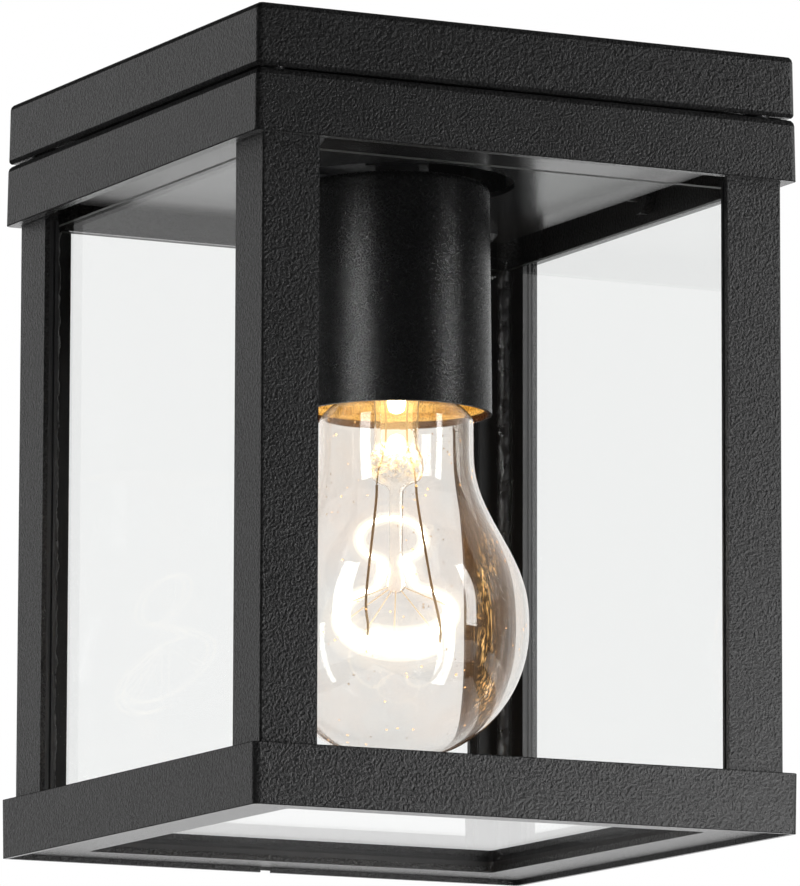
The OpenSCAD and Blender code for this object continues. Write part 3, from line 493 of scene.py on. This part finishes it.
# ---------------------------------------------------------------- mesh helpers
def piece(name, verts, faces, material, body, slot):
    """A smooth-shaded mesh that rides on a body."""
    mesh = bpy.data.meshes.new(name)
    mesh.from_pydata([tuple(v) for v in verts], [], faces)
    mesh.validate()
    mesh.update()
    mesh.shade_smooth()
    mesh.materials.append(material)
    o = bpy.data.objects.new(name, mesh)
    scene.collection.objects.link(o)
    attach(o, body)
    return o


def skin(rings, closed=False):
    """Faces between rings of points; a ring of one point is a pole.

    With closed, faces also join the last ring to the first.
    """
    verts, faces, starts = [], [], []
    for ring in rings:
        starts.append(len(verts))
        verts += ring
    pairs = list(zip(range(len(rings) - 1), range(1, len(rings))))
    if closed:
        pairs.append((len(rings) - 1, 0))
    for i, j in pairs:
        a, b, steps = starts[i], starts[j], max(len(rings[i]), len(rings[j]))
        for here in range(steps):
            after = (here + 1) % steps
            if len(rings[i]) == 1:
                faces.append((a, b + after, b + here))
            elif len(rings[j]) == 1:
                faces.append((a + here, a + after, b))
            else:
                faces.append((a + here, a + after, b + after, b + here))
    return verts, faces


def circle(r, z, steps, wide=1.0, deep=1.0, square=2.0, turn=0.0):
    """A ring of points at height z, in mm: a circle, or a rounder or squarer oval."""
    if r <= 0:
        return [Vector((0, 0, z)) * MM]
    out = []
    for k in range(steps):
        a = 2 * math.pi * k / steps
        c, s = math.cos(a), math.sin(a)
        x = math.copysign(abs(c) ** (2 / square), c) * r * wide
        y = math.copysign(abs(s) ** (2 / square), s) * r * deep
        out.append(Vector((x * math.cos(turn) - y * math.sin(turn),
                           x * math.sin(turn) + y * math.cos(turn), z)) * MM)
    return out


def through(points, parts):
    """A smooth path through points, as part.scad's paths are made."""
    out = []
    for i in range(len(points) - 1):
        a, b = points[max(0, i - 1)], points[i]
        c, d = points[i + 1], points[min(len(points) - 1, i + 2)]
        for k in range(parts):
            t = k / parts
            out.append(0.5 * (2 * b + (c - a) * t + (2 * a - 5 * b + 4 * c - d) * t * t
                              + (3 * b - a - 3 * c + d) * t ** 3))
    return out + [points[-1]]


def frames(path):
    """Each point's heading and two directions across it, carried along without twist."""
    out, u = [], Vector((0.31, 0.92, 0.24))
    for i in range(len(path)):
        t = (path[min(len(path) - 1, i + 1)] - path[max(0, i - 1)]).normalized()
        u = (u - t * u.dot(t)).normalized()
        out.append((t, u, t.cross(u)))
    return out


def tube(path, radius, sides):
    """A closed round tube along a path; radius is a number or a function of the point's index."""
    size = radius if callable(radius) else lambda i: radius
    angles = [2 * math.pi * k / sides for k in range(sides)]
    rings = [[path[0]]]
    for i, (p, (_, u, v)) in enumerate(zip(path, frames(path))):
        rings.append([p + size(i) * (math.cos(a) * u + math.sin(a) * v) for a in angles])
    rings.append([path[-1]])
    return skin(rings)


def joined(parts):
    """Several (verts, faces) pairs as one."""
    verts, faces = [], []
    for v, f in parts:
        faces += [tuple(i + len(verts) for i in face) for face in f]
        verts += v
    return verts, faces


# ---------------------------------------------------------------- bulb, in mm as in part.scad
BULB_R, NECK_R, SEAT_R, WALL = 30.0, 17.5, 12.65, 0.7
BALL_Z, SWELL_Z, NECK_TOP_Z, CAP_Z, GLASS_TOP_Z = -125.7, -83.3, -79.0, -72.0, -64.0
BALL_STEPS, BODY_STEPS, NECK_STEPS, AROUND = 40, 48, 12, 144
BULB_TURN = math.radians(-26.7)  # of the pinch and the filament, towards the camera
turn_bulb = Matrix.Rotation(BULB_TURN, 3, "Z")


def outline(t):
    """The envelope's outline from its lowest point up, drawn in by t for the inner face."""
    out = []
    for i in range(BALL_STEPS + 1):
        a = math.radians(-90 + 90 * i / BALL_STEPS)
        out.append(((BULB_R - t) * math.cos(a) if i else 0.0, BALL_Z + (BULB_R - t) * math.sin(a)))
    for i in range(1, BODY_STEPS + 1):
        u = i / BODY_STEPS
        ease = u ** 3 * (10 - 15 * u + 6 * u * u)
        out.append((BULB_R - t - (BULB_R - NECK_R) * ease, BALL_Z + (SWELL_Z - BALL_Z) * u))
    for i in range(NECK_STEPS + 1):
        u = i / NECK_STEPS
        out.append((SEAT_R - t + (NECK_R - SEAT_R) * (0.5 + 0.5 * math.cos(math.pi * u)),
                    NECK_TOP_Z + (CAP_Z - NECK_TOP_Z) * u))
    return out + [(SEAT_R - t, GLASS_TOP_Z)]


outer = [circle(r, z, AROUND) for r, z in outline(0)]
inner = [circle(r, z, AROUND) for r, z in outline(WALL)]
envelope = piece("envelope", *skin(outer + inner[::-1]), MATERIALS["bulb_glass"],
                 "bulb", "bulb_glass")
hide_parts("bulb_glass")

# Stem: flared tube with a bore, flat pinch with a wavy foot, rod and button.
STEM_OUT = [  # height, half width, half depth, squareness
    (-64.0, 11.7, 11.7, 2), (-64.9, 11.75, 11.75, 2), (-65.9, 10.4, 10.4, 2), (-67.4, 8.4, 8.4, 2),
    (-69.5, 6.6, 6.6, 2), (-72.0, 5.5, 5.5, 2), (-75.0, 5.05, 5.05, 2), (-80.0, 5.0, 5.0, 2),
    (-83.0, 4.95, 4.95, 2), (-84.4, 5.1, 4.5, 2), (-85.6, 5.5, 3.6, 2.2), (-86.8, 5.95, 2.75, 2.6),
    (-88.2, 6.15, 2.3, 3), (-89.8, 6.1, 2.2, 3), (-91.2, 5.75, 2.25, 2.8), (-92.2, 4.9, 2.3, 2.4),
    (-92.9, 3.6, 2.15, 2), (-93.4, 2.4, 1.9, 2), (-94.2, 1.75, 1.65, 2), (-95.5, 1.58, 1.58, 2),
    (-104.0, 1.52, 1.52, 2), (-112.6, 1.55, 1.55, 2), (-113.6, 1.75, 1.75, 2), (-114.5, 2.1, 2.1, 2),
    (-115.6, 2.2, 2.2, 2), (-116.6, 1.9, 1.9, 2), (-117.3, 1.2, 1.2, 2), (-117.65, 0, 0, 2),
]
STEM_IN = [
    (-85.9, 0, 0, 2), (-85.5, 1.3, 0.7, 2), (-84.9, 2.5, 1.6, 2), (-84.0, 3.4, 2.8, 2),
    (-82.6, 3.85, 3.8, 2), (-79.0, 3.9, 3.9, 2), (-75.0, 3.95, 3.95, 2), (-72.2, 4.35, 4.35, 2),
    (-70.0, 5.4, 5.4, 2), (-68.0, 7.1, 7.1, 2), (-66.5, 9.0, 9.0, 2), (-65.6, 10.3, 10.3, 2),
    (-64.6, 10.9, 10.9, 2), (-64.0, 10.9, 10.9, 2),
]
FOOT_Z, PINCH_TOP_Z = -0.0945, -0.0835  # metres; the pinch's wavy foot lies between them


def finer(stations, parts):
    """Stations with more heights in between, each as square as the station before it."""
    path = through([Vector(s[:3]) for s in stations], parts)
    squares = [stations[min(len(stations) - 1, i // parts)][3] for i in range(len(path))]
    return [(p.x, max(p.y, 0.0), max(p.z, 0.0), q) for p, q in zip(path, squares)]


def stem_rings(stations, parts=3):
    rings = []
    for z, wide, deep, square in finer(stations, parts):
        if wide < 0.05:
            rings.append([Vector((0, 0, z)) * MM])
            continue
        rings.append(circle(1.0, z, 56, wide, deep, square, BULB_TURN))
    return rings


stem_skin = stem_rings(STEM_OUT) + stem_rings(STEM_IN)
for ring in stem_skin:
    for v in ring:
        if FOOT_Z < v.z < PINCH_TOP_Z and len(ring) > 1:
            ripple = (noise.noise(Vector((v.x, v.y, v.z)) * 520) * 0.35
                      + noise.noise(Vector((v.x, v.y, 0)) * 900) * 0.3)
            v.z += ripple * MM * min(1.0, (PINCH_TOP_Z - v.z) / 0.004)
stem = piece("stem", *skin(stem_skin), MATERIALS["stem_glass"], "bulb", "stem_glass")
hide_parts("bulb_stem")

# Leads through the pinch and up the bore to the cap.
leads = []
for side in (-1, 1):
    points = [Vector((side * x, y, z)) for x, y, z in (
        (4.4, -1.0, -93.0), (4.1, -0.4, -90.0), (3.2, 0.0, -86.6), (2.4, 0.2, -82.0),
        (2.6, 0.4, -74.0), (3.6, 0.5, -68.5), (6.5, 0.6, -64.5), (11.0, 0.8, -62.0))]
    leads.append(tube([turn_bulb @ p * MM for p in through(points, 6)], 0.2 * MM, 10))
piece("stem_leads", *joined(leads), MATERIALS["lead"], "bulb", "lead")

# Filament: the two tilted loops of part.scad, wound as a real coil.
LOW, HIGH = (12.5, BALL_Z + 4, 39), (7.3, BALL_Z + 20.2, 50)  # radius, height and tilt of a loop
HIGH_SHIFT, LOW_DROP = Vector((-1, 0, 0)), 2.6
COIL_R, COIL_PITCH, COIL_WIRE_R, COIL_STEPS, COIL_SIDES = 0.34, 0.42, 0.1, 9, 5


def loop_point(loop, deg):
    r, z, tilt = loop
    a, b = math.radians(deg), math.radians(tilt)
    return Vector((r * math.cos(a), r * math.cos(b) * math.sin(a),
                   z + r * math.sin(b) * math.sin(a)))


def low_point(deg):
    return loop_point(LOW, deg) - Vector((0, 0, LOW_DROP * deg / 360))


def high_point(deg):
    return HIGH_SHIFT + loop_point(HIGH, deg)


neck_z = high_point(-90).z
line = [low_point(-118 + 186 * i / 11) for i in range(12)]
line += [Vector((3.1, 4, neck_z - 1.4)), Vector((2.9, 0, neck_z - 0.8))]
line += [high_point(-72 + 324 * i / 11) for i in range(12)]
line += [Vector((-3, 0, neck_z - 0.8)), Vector((-3.1, 4, neck_z - 1.4))]
line += [low_point(112 + 206 * i / 12) for i in range(13)]
wire_way = [turn_bulb @ p for p in through(line, 10)]


def wound(path, radius, pitch, per_turn):
    """Points of a helix of that radius and pitch round a path, in the path's units."""
    across, out, angle, gone, step = frames(path), [], 0.0, 0.0, pitch / per_turn
    for i in range(len(path) - 1):
        span = (path[i + 1] - path[i]).length
        while gone < span:
            f = gone / span
            u = across[i][1].lerp(across[i + 1][1], f).normalized()
            v = across[i][2].lerp(across[i + 1][2], f).normalized()
            out.append(path[i].lerp(path[i + 1], f)
                       + radius * (math.cos(angle) * u + math.sin(angle) * v))
            angle += 2 * math.pi / per_turn
            gone += step
        gone -= span
    return out


coil_path = [p * MM for p in wound(wire_way, COIL_R, COIL_PITCH, COIL_STEPS)]
coil = piece("coil", *tube(coil_path, COIL_WIRE_R * MM, COIL_SIDES), MATERIALS["glow"],
             "bulb", "glow")
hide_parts("filament")


def glow_shell(name, radius, voxel, strength, color):
    """A volume of painted glare round the filament, wider round its lower loop; mm."""
    line_of_wire = wire_way[::3]

    def spread(i):
        lower = max(0.0, min(1.0, (-116.0 - line_of_wire[i].z) / 14.0))
        return radius * MM * (1.0 + 0.8 * lower)

    verts, faces = tube([p * MM for p in line_of_wire], spread, 14)
    o = piece(name, verts, faces, painted_glare_volume("hot_" + name, strength, color), "bulb", "glow")
    blobs = o.modifiers.new("blobs", "REMESH")
    blobs.mode = "VOXEL"
    blobs.voxel_size = voxel * MM
    o.visible_glossy = o.visible_diffuse = o.visible_shadow = False
    return o


glow_shell("glow_core", 0.8, 0.26, 800.0, (1.0, 0.92, 0.76))
glow_shell("glow_mid", 1.6, 0.26, 100.0, (1.0, 0.88, 0.68))
glow_shell("glow_soft", 3.2, 0.5, 14.0, (1.0, 0.80, 0.54))


# Rolled thread of the bulb's cap, inside the plain cylinder of the solids.
CAP_R, CAP_BORE_R, CAP_STEP, CAP_RINGS, CAP_SIDES = 13.1, 12.75, 0.3, 69, 72
THREAD_PITCH, THREAD_DEPTH, THREAD_TOP, THREAD_FOOT, RUN_OUT = 3.63, 0.75, -51.8, -69.5, 1.5


def threaded(radius, heights):
    """Rings whose radius follows the right-hand rolled thread, in mm."""
    rings = []
    for z in heights:
        fade = max(0.0, min(1.0, (z - THREAD_FOOT) / RUN_OUT, (THREAD_TOP - z) / RUN_OUT))
        ring = []
        for k in range(CAP_SIDES):
            a = 2 * math.pi * k / CAP_SIDES
            wave = 0.5 - 0.5 * math.cos(2 * math.pi * (z / THREAD_PITCH) - a)
            r = radius - THREAD_DEPTH * fade * wave
            ring.append(Vector((r * math.cos(a), r * math.sin(a), z)) * MM)
        rings.append(ring)
    return rings


cap_heights = [CAP_Z + i * CAP_STEP for i in range(CAP_RINGS)]
shoulder = [(12.6, -51.0), (11.8, -50.3), (10.4, -49.4), (9.2, -48.7),
            (9.2, -49.1), (10.3, -49.8), (11.5, -50.7), (12.2, -51.4)]
cap_rings = threaded(CAP_R, cap_heights)
cap_rings += [circle(r, z, CAP_SIDES) for r, z in shoulder]
cap_rings += threaded(CAP_BORE_R, cap_heights[::-1])
cap = piece("cap_shell", *skin(cap_rings, closed=True), MATERIALS["cap_metal"],
            "bulb", "cap_metal")
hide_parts("bulb_cap")

# Silicone in the corners between the panes, uneven as squeezed from a tube; mm.
BEAD_OFF, BEAD_R, BEAD_FOOT_Z, BEAD_TOP_Z = 57.35, 1.75, -168.0, -30.2
BEAD_RINGS, BEAD_SIDES = 240, 20
FIRST_RING_Z, RING_STEP = -167.9, 137.6 / (BEAD_RINGS - 1)
rng = random.Random(4)
beads = []
for sx, sy in ((-1, -1), (1, -1), (1, 1), (-1, 1)):
    base = Vector((sx * BEAD_OFF, sy * BEAD_OFF, 0))
    seed = rng.uniform(0, 50)
    rings = [[(base + Vector((0, 0, BEAD_FOOT_Z))) * MM]]
    for i in range(BEAD_RINGS):
        z = FIRST_RING_Z + i * RING_STEP
        ring = []
        for k in range(BEAD_SIDES):
            a = 2 * math.pi * k / BEAD_SIDES
            out = Vector((math.cos(a), math.sin(a), 0))
            swell = noise.noise(Vector((out.x * 1.2 + seed, out.y * 1.2, z * 0.45)))
            lump = noise.noise(Vector((out.x * 2 + seed, out.y * 2, z * 1.5)))
            r = BEAD_R + 0.55 * swell + 0.22 * lump
            ring.append((base + out * r + Vector((0, 0, z))) * MM)
        rings.append(ring)
    rings.append([(base + Vector((0, 0, BEAD_TOP_Z))) * MM])
    beads.append(skin(rings))
bead = piece("silicone_beads", *joined(beads), silicone(), "cage", "black_rubber")
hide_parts("corner_beads")

# ---------------------------------------------------------------- light, backdrop and floor
world = bpy.data.worlds.new("studio")
scene.world = world
world.use_nodes = True
world.node_tree.nodes.clear()
sky_node = functools.partial(add_node, world.node_tree)

# Rays that come straight or through glass see white. Mirrors and matt faces see a sky that is
# bright behind the lantern and dark behind the camera.
direction = sky_node("TexCoord").outputs["Generated"]
behind = Vector((math.sin(YAW), math.cos(YAW), 0.0))
facing = sky_node("VectorMath", {0: direction, 1: behind}, operation="DOT_PRODUCT").outputs["Value"]
bright = sky_node("MapRange", {"Value": facing, "From Min": -0.1, "From Max": 1.15,
                               "To Min": 0.03, "To Max": 1.0},
                  interpolation_type="SMOOTHSTEP").outputs["Result"]
ray = sky_node("LightPath").outputs
bounces = sky_node("Math", {0: ray["Glossy Depth"], 1: ray["Diffuse Depth"]},
                   operation="ADD").outputs[0]
straight = sky_node("Math", {0: bounces, 1: 0.5}, operation="LESS_THAN").outputs[0]
direct = sky_node("Math", {0: ray["Is Camera Ray"], 1: ray["Is Transmission Ray"]},
                  operation="MAXIMUM").outputs[0]
seen = sky_node("Math", {0: straight, 1: direct}, operation="MULTIPLY").outputs[0]
strength = sky_node("Mix", {0: seen, 2: bright, 3: 1.0}, data_type="FLOAT").outputs[0]
sky = sky_node("Background", {"Color": rgb(1, 1, 1), "Strength": strength})
world.node_tree.links.new(sky.outputs[0], sky_node("OutputWorld").inputs["Surface"])


def area_lamp(name, at, target, size, radiance):
    """A soft white lamp of a given radiance; its power is radiance x pi x area."""
    data = bpy.data.lights.new(name, "AREA")
    data.shape = "RECTANGLE"
    data.size, data.size_y = size
    data.energy = radiance * math.pi * size[0] * size[1]
    o = bpy.data.objects.new(name, data)
    scene.collection.objects.link(o)
    o.location = at
    o.rotation_euler = (Vector(target) - Vector(at)).to_track_quat("-Z", "Y").to_euler()
    o.visible_camera = False
    return o


strips = [
    area_lamp("strip_left", (-0.67, -0.19, 0.19), (0, 0, 0.19), (0.20, 0.62), 8.0),
    area_lamp("strip_right", (0.46, -0.53, 0.15), (0, 0, 0.15), (0.12, 0.55), 8.5),
]
keys = [
    area_lamp("key_low", (0.20, -0.32, -0.24), (0.02, -0.066, -0.17), (0.14, 0.14), 8.2),
    area_lamp("key_mid", (0.34, -0.36, -0.10), (0.04, -0.066, -0.10), (0.20, 0.20), 5.4),
    area_lamp("key_high", (0.30, -0.20, 0.05), (0.06, -0.066, -0.08), (0.14, 0.14), 4.7),
]


def warm_lamp(name, z, watts, color=(1.0, 0.78, 0.45), radius=0.0025):
    """A small lamp on the axis for light of the filament, straight or thrown back by the stem."""
    data = bpy.data.lights.new(name, "POINT")
    data.energy = watts
    data.color = color
    data.shadow_soft_size = radius
    # Seen straight or through glass, never in the panes' far mirror images.
    data.use_nodes = True
    tree = data.node_tree
    mirrors = add_node(tree, "LightPath").outputs["Glossy Depth"]
    unmirrored = add_node(tree, "Math", {0: mirrors, 1: 0.5}, operation="LESS_THAN").outputs[0]
    tree.links.new(unmirrored, tree.nodes["Emission"].inputs["Strength"])
    o = bpy.data.objects.new(name, data)
    scene.collection.objects.link(o)
    o.location = (0, 0, z)
    o.visible_camera = o.visible_glossy = False
    return o


warm_lamp("warm_high", -0.0745, 0.028)
warm_lamp("warm_low", -0.0835, 0.019)
filament_light = warm_lamp("filament_light", -0.1225, 0.075, (1.0, 0.58, 0.27), 0.008)
filament_light.visible_transmission = False  # its disc is wider than the coil


def limit(lamps, name, objects, state):
    """Lets lamps light only these objects, or all but these."""
    group = bpy.data.collections.new(name)
    for o in objects:
        group.objects.link(o)
    for link in group.collection_objects:
        link.light_linking.link_state = state
    for lamp in lamps:
        lamp.light_linking.receiver_collection = group


# The strips draw the cup's long highlights. A ray that leaves the cup through a pane counts as lit at
# the pane, so they light the panes too. The soft keys light all else but the cup and the glass, which
# would mirror them as hard white squares.
panes = [NODES[n] for n in ("pane_front", "pane_right", "pane_back", "pane_left", "bottom_pane")]
limit(strips, "lit_by_strips", [NODES["lamp_cup"]] + panes, "INCLUDE")
limit(keys, "not_lit_by_keys", [NODES["lamp_cup"], envelope, stem] + panes, "EXCLUDE")

FLOOR_HALF, FLOOR_Z, FLOOR_GLOW = 4, -1.1, 0.65
floor = bpy.data.objects.new("floor", bpy.data.meshes.new("floor"))
scene.collection.objects.link(floor)
floor_corners = [(x * FLOOR_HALF, y * FLOOR_HALF, FLOOR_Z)
                 for x, y in ((-1, -1), (1, -1), (1, 1), (-1, 1))]
floor.data.from_pydata(floor_corners, [], [(0, 1, 2, 3)])
fs = Shader("floor")
tone = fs.blend(fs.noise(3.0), rgb(0.80, 0.80, 0.80), rgb(0.82, 0.82, 0.82))
lit = fs.principled(Base_Color=tone, Roughness=0.8)
# The floor's own paleness is only for rays that come straight, by a mirror or through glass: it
# throws no light on matt faces.
look = fs.node("LightPath").outputs
viewed = fs.math("MAXIMUM", look["Is Camera Ray"],
                 fs.math("MAXIMUM", look["Is Glossy Ray"], look["Is Transmission Ray"]))
pale = fs.node("Emission", {"Color": tone, "Strength": fs.math("MULTIPLY", viewed, FLOOR_GLOW)})
floor.data.materials.append(fs.done(fs.node("AddShader", {0: lit.outputs[0], 1: pale.outputs[0]})))
